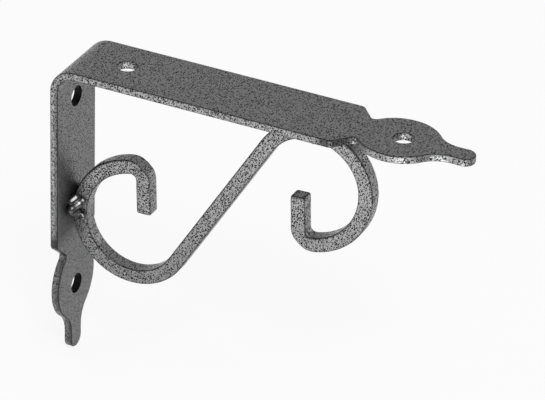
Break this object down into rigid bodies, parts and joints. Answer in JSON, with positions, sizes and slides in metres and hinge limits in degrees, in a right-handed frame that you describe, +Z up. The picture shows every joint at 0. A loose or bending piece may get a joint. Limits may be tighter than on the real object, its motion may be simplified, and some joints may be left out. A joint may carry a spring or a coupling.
{
  "type": "reinforced shelf bracket",
  "caption": "Folded flat-bar shelf bracket with cut ornamental ends, braced by a welded S-scroll of square rod, in a hammered silver-grey coat.",
  "frame": {"origin": "on the wall plane, midway between the two wall screws", "axes": "+X out from the wall, +Z up towards the shelf, +Y across the bar"},
  "size_m": [0.1395, 0.025, 0.108],
  "materials": {
    "hammered_coat": "silver-grey hammered enamel over steel, fine dark pits, softly rounded edges",
    "coated_weld": "glossy silver-grey enamel pooled over a lumpy weld bead"
  },
  "bodies": {
    "root": {"flat_bar": "hammered_coat", "scroll_rod": "hammered_coat", "leg_weld": "coated_weld", "arm_weld": "coated_weld"}
  },
  "joints": []
}
